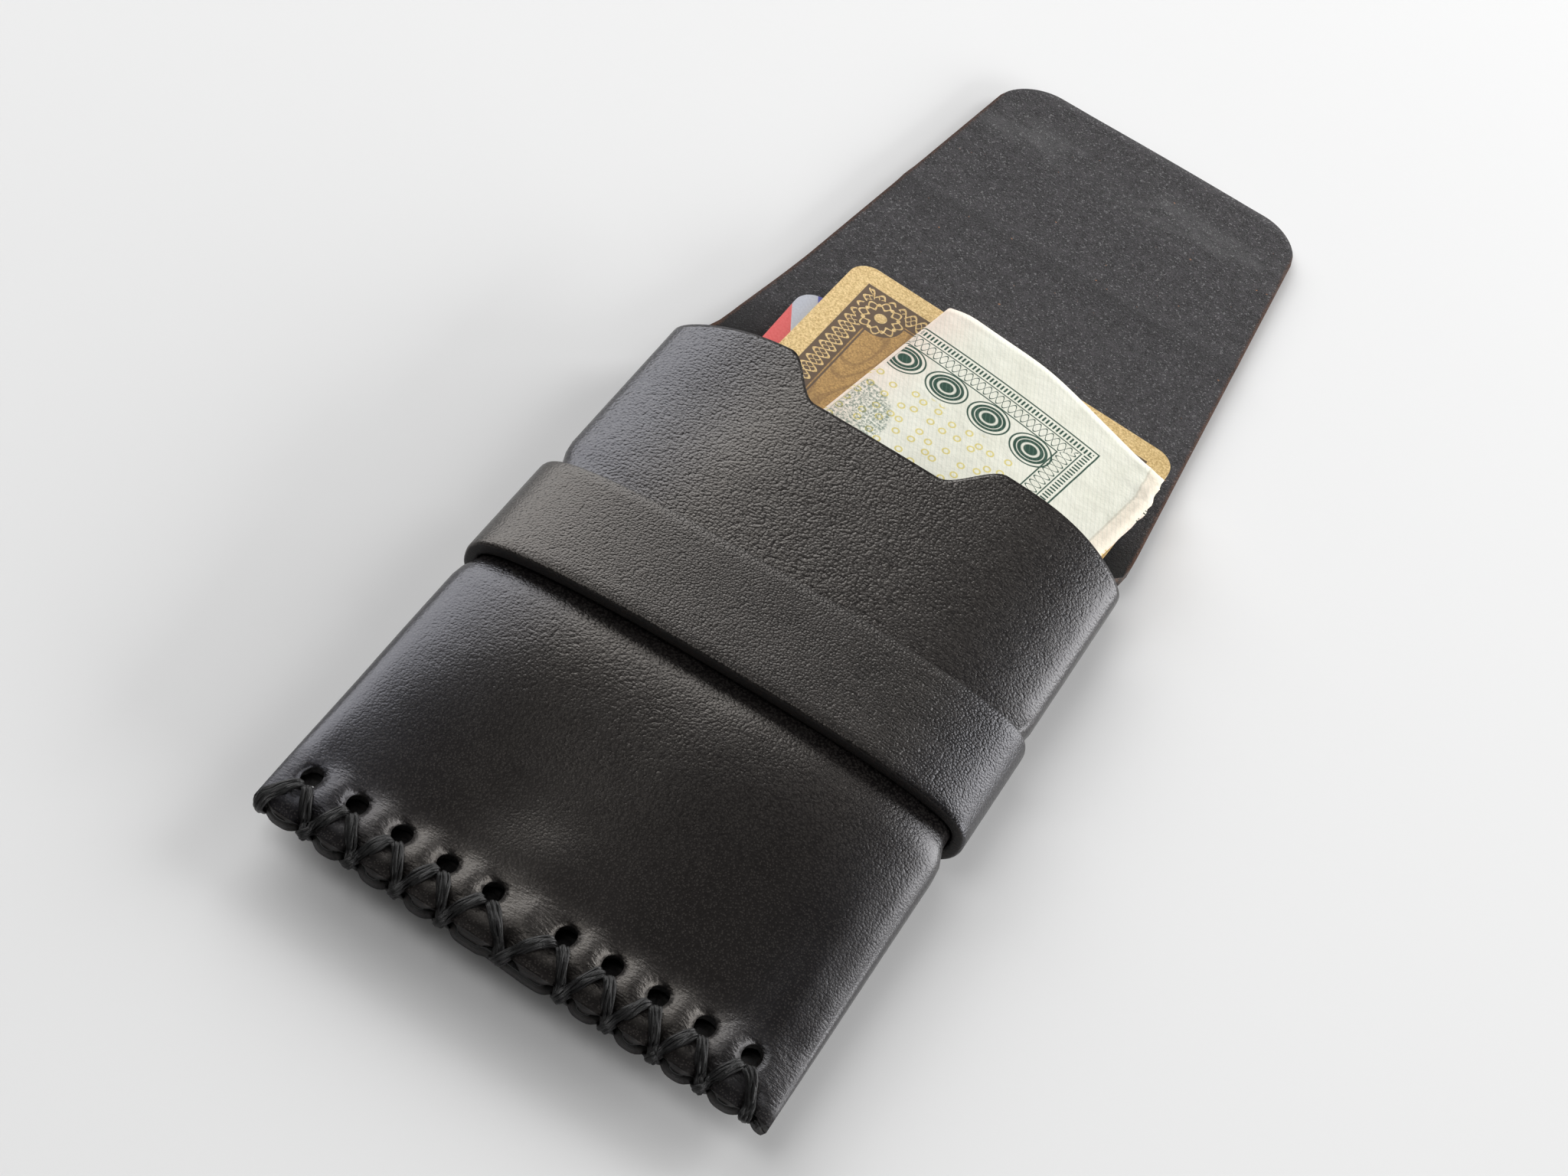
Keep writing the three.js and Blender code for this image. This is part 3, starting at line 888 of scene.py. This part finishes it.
def strand_points(from_x, to_x, over):
    """A strand out of a front hole, across the edge and into a back hole."""
    points = []
    for side, hole, other in ((True, from_x, to_x), (False, to_x, from_x)):
        run = []
        for share, y in STRAND_RUN:
            x = hole + (other - hole) * share
            z = surface_height(x, y, side)
            rise = CORD_LIFT if share > 0.05 else -CORD_REACH
            run.append((x, y, z + (rise if side else -rise)))
        points.append(run)
    middle = ((from_x + to_x) / 2, -0.2 - 0.55 * over, SEAM_MIDDLE)
    return points[0] + [middle] + points[1][::-1]


def end_points(hole, outward):
    """The end stitch: a strand that goes round the edge beside its own hole."""
    front = []
    back = []
    for share, y in END_RUN:
        x = hole + outward * END_STITCH * share
        rise = CORD_LIFT if share > 0 else -CORD_REACH
        front.append((x, y, surface_height(x, y, True) + rise))
        back.append((x, y, surface_height(x, y, False) - rise))
    middle = (hole + outward * END_STITCH, -0.5, SEAM_MIDDLE)
    return front + [middle] + back[::-1]


def sweep_strand(name, points):
    """Flat cord along points: filaments side by side that drift a little across it."""
    path = smooth_path(points, STRAND_RINGS)
    tangent = np.gradient(path, axis=0)
    tangent /= np.linalg.norm(tangent, axis=1)[:, None]
    core = np.array([4.0, SEAM_MIDDLE])
    away = np.zeros_like(path)
    away[:, 1:] = path[:, 1:] - core
    away -= tangent * (away * tangent).sum(axis=1)[:, None]
    away /= np.linalg.norm(away, axis=1)[:, None]
    side = np.cross(tangent, away)
    travelled = np.concatenate([[0], np.cumsum(np.linalg.norm(np.diff(path, axis=0), axis=1))])
    angle = np.linspace(0, 2 * math.pi, FILAMENT_SIDES, endpoint=False)
    points = []
    faces = []
    uv = []
    for k in range(FILAMENTS):
        phase = rng.uniform(0, 6.28, 3)
        row = (k + 0.5) / FILAMENTS - 0.5
        drift = 0.09 * np.sin(travelled * 1.1 + phase[0])
        across = CORD_WIDE * row + drift
        rise = (CORD_FLAT - 2 * FILAMENT_RADIUS) * (1 - 4 * row ** 2) / 2
        rise = rise + 0.08 * np.sin(travelled * 1.5 + phase[1])
        wide = FILAMENT_RADIUS * (1 + 0.12 * np.sin(travelled * 2.3 + phase[2]))
        centre = path + side * across[:, None] + away * rise[:, None]
        ring = centre[:, None, :] + wide[:, None, None] * (
            1.15 * np.cos(angle)[None, :, None] * side[:, None, :]
            + np.sin(angle)[None, :, None] * away[:, None, :]
        )
        start = len(points) * STRAND_RINGS * FILAMENT_SIDES
        points.append(ring.reshape(-1, 3))
        faces += grid_faces(STRAND_RINGS, FILAMENT_SIDES, closed_columns=True, offset=start)
        end = start + STRAND_RINGS * FILAMENT_SIDES
        faces.append(tuple(range(start, start + FILAMENT_SIDES)))
        faces.append(tuple(range(end - 1, end - 1 - FILAMENT_SIDES, -1)))
        uv += [(t, k + a / (2 * math.pi)) for t in travelled for a in angle]
    piece = add_mesh(name, np.vstack(points), faces)
    set_uv(piece, uv)
    return piece


def build_lacing():
    material = waxed_cord()
    strands = []
    for i in range(len(HOLES) - 1):
        strands.append(sweep_strand(f"strand_down_{i:02d}", strand_points(HOLES[i], HOLES[i + 1], 0)))
        strands.append(sweep_strand(f"strand_up_{i:02d}", strand_points(HOLES[i + 1], HOLES[i], 1)))
    strands.append(sweep_strand("strand_end_left", end_points(HOLES[0], -1)))
    strands.append(sweep_strand("strand_end_right", end_points(HOLES[-1], 1)))
    for piece in strands:
        piece.data.materials.append(material)
    piece = join(strands, "lacing")
    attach(piece, "wallet")
    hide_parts("lacing_cord")


def join(pieces, name):
    bpy.ops.object.select_all(action="DESELECT")
    for piece in pieces:
        piece.select_set(True)
    bpy.context.view_layer.objects.active = pieces[0]
    bpy.ops.object.join()
    pieces[0].name = name
    return pieces[0]


# Cards

FRAME_OUTER = 3.4
FRAME_MIDDLE = 5.3
FRAME_INNER = 7.1
CORNER_FLOWER = 8.2


def inset(s, x, y, half, corner):
    """Distance inside the edge of a rounded rectangle centred on 0."""
    qx = s.minus(s.math("ABSOLUTE", x), half[0] - corner)
    qy = s.minus(s.math("ABSOLUTE", y), half[1] - corner)
    ox = s.math("MAXIMUM", qx, 0.0)
    oy = s.math("MAXIMUM", qy, 0.0)
    outside = s.hypot(ox, oy)
    inside = s.math("MINIMUM", s.math("MAXIMUM", qx, qy), 0.0)
    return s.minus(corner, s.plus(outside, inside))


def line(s, value, at, width, soft=0.05):
    """1 within half a width of a value."""
    off = s.gap(value, at)
    return s.flip(s.step(off, width / 2 - soft, width / 2 + soft))


def band(s, value, low, high, soft=0.05):
    return line(s, value, (low + high) / 2, high - low, soft)


def wave_lines(s, along, across, middle, swing, pitch, width):
    """Two sine lines that cross each other, as on a turned border."""
    phase = s.times(along, 2 * math.pi / pitch)
    rise = s.times(s.math("SINE", phase), swing)
    first = line(s, s.minus(across, rise), middle, width)
    second = line(s, s.plus(across, rise), middle, width)
    return s.math("MAXIMUM", first, second)


def gold_print():
    """Pale gold card: plain border, brown band with crossing waves, fine contour lines inside."""
    s = Shader("gold_print")
    world = s.millimetres()
    place = s.local(world, GOLD_AT, GOLD_TURN)
    x, y, _ = s.parts(place)
    depth = inset(s, x, y, CARD_HALF, CARD_CORNER)
    grain = s.noise(world, 0.32, 3, 0.7)
    border = s.mix(s.step(grain, 0.3, 0.72), rgb("b8965a"), rgb("ecd29a"))
    field = s.mix(s.step(grain, 0.3, 0.72), rgb("936f3c"), rgb("c79f5e"))
    level = s.times(s.noise(s.stretched(place, (1, 0.45, 1)), 9, 1, 0.4), 26 * math.pi)
    contour = s.step(s.math("SINE", level), 0.55, 0.95)
    field = s.mix(s.times(contour, 0.45), field, rgb("755530"))
    brown = rgb("5b4733")
    right = s.minus(CARD_HALF[0], s.math("ABSOLUTE", x))
    top = s.minus(CARD_HALF[1], s.math("ABSOLUTE", y))
    along = s.pick(s.step(s.minus(right, top), -0.01, 0.01, False), y, x)
    waves = wave_lines(s, along, depth, FRAME_MIDDLE, 1.25, 3.6, 0.42)
    small = wave_lines(s, along, depth, FRAME_MIDDLE, 0.6, 1.8, 0.22)
    ground = s.mix(s.math("MAXIMUM", waves, small), brown, border)
    color = s.mix(s.step(depth, FRAME_OUTER, FRAME_OUTER + 0.1, False), border, ground)
    color = s.mix(s.step(depth, FRAME_INNER, FRAME_INNER + 0.1, False), color, field)
    color = s.mix(line(s, depth, FRAME_OUTER + 0.15, 0.4), color, brown)
    color = s.mix(line(s, depth, FRAME_INNER + 0.4, 0.3), color, brown)
    corner_x = s.minus(s.math("ABSOLUTE", x), CARD_HALF[0] - CORNER_FLOWER)
    corner_y = s.minus(s.math("ABSOLUTE", y), CARD_HALF[1] - CORNER_FLOWER)
    r = s.hypot(corner_x, corner_y)
    turn = s.math("ARCTAN2", corner_y, corner_x)
    petals = s.times(s.math("SINE", s.times(turn, 8.0)), 0.45)
    flower = line(s, s.minus(r, petals), 2.3, 0.4)
    flower = s.math("MAXIMUM", flower, line(s, s.plus(r, petals), 2.9, 0.3))
    flower = s.math("MAXIMUM", flower, s.flip(s.step(r, 0.9, 1.0)))
    disc = s.flip(s.step(r, 3.6, 3.7))
    color = s.mix(disc, color, s.mix(flower, brown, border))
    s.set(color=color, metallic=0.25, roughness=0.42, specular=0.5)
    s.set(normal=s.bump(grain, 0.02))
    return s.material


def striped_print():
    """Red, grey and blue fields with slanting edges."""
    s = Shader("striped_print")
    world = s.millimetres()
    x, y, _ = s.parts(s.local(world, LOWER_AT, LOWER_TURN))
    across = s.plus(s.times(x, 0.89), s.times(y, 0.45))
    grain = s.noise(world, 0.35, 2, 0.6)
    red = s.mix(grain, rgb("d8383c"), rgb("ea6a64"))
    pale = s.mix(grain, rgb("a9adb8"), rgb("cdd0da"))
    blue = s.mix(grain, rgb("34379a"), rgb("5458b4"))
    color = s.mix(s.step(across, -6.7, -6.6, False), red, pale)
    color = s.mix(s.step(across, -3.0, -2.9, False), color, blue)
    s.set(color=color, roughness=0.32, specular=0.5)
    s.set(normal=s.bump(grain, 0.01))
    return s.material


def dress_cards():
    """The cards are the CAD solids themselves with printed materials."""
    for name, material in (("gold_card", gold_print()), ("lower_card", striped_print())):
        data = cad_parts[name].data
        data.materials.clear()
        data.materials.append(material)


# Folded note

NOTE_THICK = 1.45
SHEET_THICK = 0.11
FOLD_ROUND = 0.72
FOLD_STEP = 0.14
CORNER_CUT = 1.2
NOTE_ENDS = ((0.0, 0.3), (0.25, 0.1), (0.5, 0.35), (0.1, 0.2), (0.4, 0.0))
NOTE_ROWS = 60
SHEET_COLUMNS = 34
NOTE_UV = 100
SIDE_FOLD = 18.4
PRINT_RIGHT = 10.6
PRINT_TOP = 25.6
SEAL_AT = (-19.5, 4.0)
OVAL_Y = 18.2
OVAL_HALF = (3.0, 2.6)
OVAL_PITCH = 7.4
OVALS_RIGHT = 7.4


def note_paper():
    """Cream paper with a green hatched border, ovals and small yellow rings, pinkish at the fold."""
    s = Shader("note_paper")
    x, y, _ = s.parts(s.stretched(s.uv(), (NOTE_UV, NOTE_UV, 1)))
    flat = s.stretched(s.uv(), (NOTE_UV, NOTE_UV, 0))
    world = s.millimetres()
    mottle = s.noise(world, 5, 4, 0.6)
    paper = s.mix(mottle, rgb("dcdccb"), rgb("f0efe4"))
    pink = s.flip(s.step(s.plus(x, s.times(mottle, 6.0)), -20, -9))
    paper = s.mix(s.times(pink, 0.7), paper, rgb("efd9cc"))
    paper = s.mix(s.times(s.step(x, 18.2, 18.7), 0.6), paper, rgb("f3e3cf"))
    paper = s.mix(s.times(line(s, x, 18.35, 0.3, 0.12), 0.35), paper, rgb("a89a84"))
    green = rgb("2f4c40")
    pale_green = rgb("8fa394")
    right = s.minus(PRINT_RIGHT, x)
    top = s.minus(PRINT_TOP, y)
    depth = s.math("MINIMUM", right, top)
    along = s.pick(s.step(s.minus(top, right), -0.01, 0.01, False), x, y)
    hatch = s.step(s.math("SINE", s.times(along, 2 * math.pi / 0.62)), -0.2, 0.3)
    color = s.mix(s.times(band(s, depth, 0.5, 1.5), hatch), paper, green)
    for at, width in ((0.0, 0.26), (1.9, 0.2), (4.5, 0.22)):
        color = s.mix(line(s, depth, at, width), color, green)
    lace = wave_lines(s, along, depth, 3.2, 0.95, 2.2, 0.24)
    color = s.mix(s.times(lace, band(s, depth, 1.9, 4.5)), color, green)
    color = s.mix(oval_row(s, x, y), color, green)
    color = s.mix(s.times(oval_core(s, x, y), 0.9), color, paper)
    rings = s.cells(flat, 2.5, 0.6, "2D")
    ring = s.times(line(s, rings, 0.19, 0.1, 0.02), s.step(top, 10.6, 11.0))
    ring = s.times(ring, s.step(right, 5.4, 6.0))
    color = s.mix(s.times(ring, 0.75), color, rgb("d8c552"))
    seal_x = s.minus(x, SEAL_AT[0])
    seal_y = s.minus(y, SEAL_AT[1])
    seal = s.hypot(seal_x, seal_y)
    stipple = s.step(s.noise(flat, 0.45, 3, 0.7), 0.42, 0.6)
    spot = s.times(s.flip(s.step(seal, 6.6, 7.4)), stipple)
    color = s.mix(s.times(spot, 0.75), color, rgb("4d6a5c"))
    lines = s.step(s.math("SINE", s.times(s.plus(x, s.times(y, 0.6)), 9.0)), 0.5, 1.0)
    color = s.mix(s.times(lines, 0.13), color, pale_green)
    s.set(color=color, roughness=0.85, specular=0.25)
    crumple = s.noise(world, 2.6, 3, 0.55)
    s.set(normal=s.bump(s.noise(world, 0.3, 2), 0.02, s.bump(crumple, 0.22)))
    return s.material


def oval_distance(s, x, y):
    """0 at the middle and 1 on the outline of each oval in a row under the border."""
    shifted = s.plus(x, 22.5)
    cell = s.minus(s.math("MODULO", shifted, OVAL_PITCH), OVAL_PITCH / 2)
    rise = s.minus(y, OVAL_Y)
    across = s.math("DIVIDE", cell, OVAL_HALF[0])
    up = s.math("DIVIDE", rise, OVAL_HALF[1])
    return s.hypot(across, up)


def oval_row(s, x, y):
    """Filled ovals, each with a thin rim round it."""
    r = oval_distance(s, x, y)
    body = s.flip(s.step(r, 0.86, 0.9))
    rim = line(s, r, 1.06, 0.09, 0.02)
    inside = s.flip(s.step(x, OVALS_RIGHT, OVALS_RIGHT + 0.1))
    return s.times(s.math("MAXIMUM", body, rim), inside)


def oval_core(s, x, y):
    """Pale rings inside the ovals."""
    r = oval_distance(s, x, y)
    ring = line(s, r, 0.42, 0.13, 0.03)
    ring = s.math("MAXIMUM", ring, line(s, r, 0.7, 0.05, 0.02))
    return s.times(ring, s.flip(s.step(x, OVALS_RIGHT, OVALS_RIGHT + 0.1)))


def note_lift(u, v):
    """Bulge of the folded paper and the creases at its far right corner."""
    arch = 0.85 * (1 - (u / NOTE_HALF[0]) ** 2)
    free = ease((v - 2) / 20)
    corner = ease((u - 13) / 7) * ease((v - 22) / 10)
    crumple = 0.22 * corner * np.sin(u * 1.9 + v * 0.8) + 0.2 * corner * np.sin(v * 1.5 - u * 0.7)
    groove = -0.34 * free * bell((u - SIDE_FOLD) / 0.35)
    fold = groove + 0.3 * free * ease((u - SIDE_FOLD) / 0.6)
    return arch * (0.75 + 0.25 * free) + free * fold + crumple + 0.5 * free * bell((u - 19) / 3.5)


def build_note():
    """Five sheets folded round each other, joined into one piece."""
    v = np.linspace(-NOTE_HALF[1], NOTE_HALF[1], NOTE_ROWS)
    material = note_paper()
    sheets = []
    for k, (top_end, low_end) in enumerate(NOTE_ENDS):
        # Each sheet lies inside the one before, so its fold has a smaller radius g
        g = FOLD_ROUND - FOLD_STEP * k
        left = -NOTE_HALF[0] + FOLD_STEP * k
        low = np.linspace(NOTE_HALF[0] - low_end, left + g, SHEET_COLUMNS)
        high = np.linspace(left + g, NOTE_HALF[0] - top_end, SHEET_COLUMNS)
        bend = np.radians(np.linspace(270, 90, 9))[1:-1]
        u = np.concatenate([low, left + g + g * np.cos(bend), high])
        h = np.concatenate([np.full(len(low), -g), g * np.sin(bend), np.full(len(high), g)])
        unrolled = np.concatenate([np.full(len(low) + len(bend), -30.0), high])
        jitter = 0.14 * np.sin(v * 1.3 + 2 * k) * ease((v - 10) / 20)
        jitter = jitter - CORNER_CUT * ease((v - 24) / 9)
        grid_u = u[None, :] + jitter[:, None] * ease((u[None, :] - 8) / 10)
        # How much shorter each column is than the note: waves, rounded fold, slanting far edge
        end = 0.08 * np.sin(grid_u * 0.35 + k) + 0.2 * k + 1.1 * bell((grid_u + NOTE_HALF[0]) / 2.2)
        end = end + 3.5 * ease((grid_u + 6) / 28)
        grid_v = v[:, None] * np.ones_like(grid_u) - end * ease((v[:, None] - 20) / 13)
        lift = note_lift(grid_u, grid_v)
        squeeze = np.where(h[None, :] > 0, 1.0, 0.45)
        z = NOTE_Z + NOTE_THICK / 2 + h[None, :] + lift * squeeze
        c = math.cos(NOTE_TURN)
        sn = math.sin(NOTE_TURN)
        x = NOTE_AT[0] + grid_u * c - grid_v * sn
        y = NOTE_AT[1] + grid_u * sn + grid_v * c
        points = np.stack([x, y, z], axis=2).reshape(-1, 3)
        piece = add_mesh(f"note_sheet_{k}", points, grid_faces(NOTE_ROWS, len(u)))
        uv = np.stack([np.broadcast_to(unrolled, grid_u.shape), grid_v], axis=2) / NOTE_UV
        set_uv(piece, uv.reshape(-1, 2))
        piece.data.materials.append(material)
        thick = piece.modifiers.new("thickness", "SOLIDIFY")
        thick.thickness = SHEET_THICK * MM
        thick.offset = 0
        apply_modifiers(piece)
        sheets.append(piece)
    piece = join(sheets, "note")
    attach(piece, "wallet")
    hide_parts("folded_note")


# Floor, lights and world

def add_floor():
    bpy.ops.mesh.primitive_plane_add(size=6)
    floor = bpy.context.object
    floor.name = "floor"
    s = Shader("floor")
    s.set(color=rgb("e8e8e8"), roughness=0.9, specular=0.1)
    floor.data.materials.append(s.material)


LAMPS = (
    ("key", (-0.92, 0.83, 0.68), (1.8, 0.9), 21.0),
    ("back_right", (0.8, 1.08, 0.5), (0.75, 1.0), 15.6),
    ("overhead", (-0.75, -0.5, 1.8), (1.2, 1.2), 10.5),
    ("right", (1.3, 0.05, 0.28), (1.3, 0.4), 18.0),
)
WORLD_LEVEL = 0.04


def add_area(name, place, size, power):
    """Area lamp at a place, aimed at the wallet's middle."""
    data = bpy.data.lights.new(name, "AREA")
    data.shape = "RECTANGLE"
    data.size = size[0]
    data.size_y = size[1]
    data.energy = power
    lamp = bpy.data.objects.new(name, data)
    lamp.location = place
    lamp.rotation_euler = (-Vector(place)).to_track_quat("-Z", "Y").to_euler()
    bpy.context.scene.collection.objects.link(lamp)


def add_lights():
    for lamp in LAMPS:
        add_area(*lamp)
    world = bpy.data.worlds.new("world")
    bpy.context.scene.world = world
    world.use_nodes = True
    world.node_tree.nodes["Background"].inputs[0].default_value = (1, 1, 1, 1)
    world.node_tree.nodes["Background"].inputs[1].default_value = WORLD_LEVEL


add_camera()
add_floor()
add_lights()
build_leather()
build_strap()
build_lacing()
dress_cards()
build_note()

bpy.context.scene.view_settings.view_transform = "Standard"
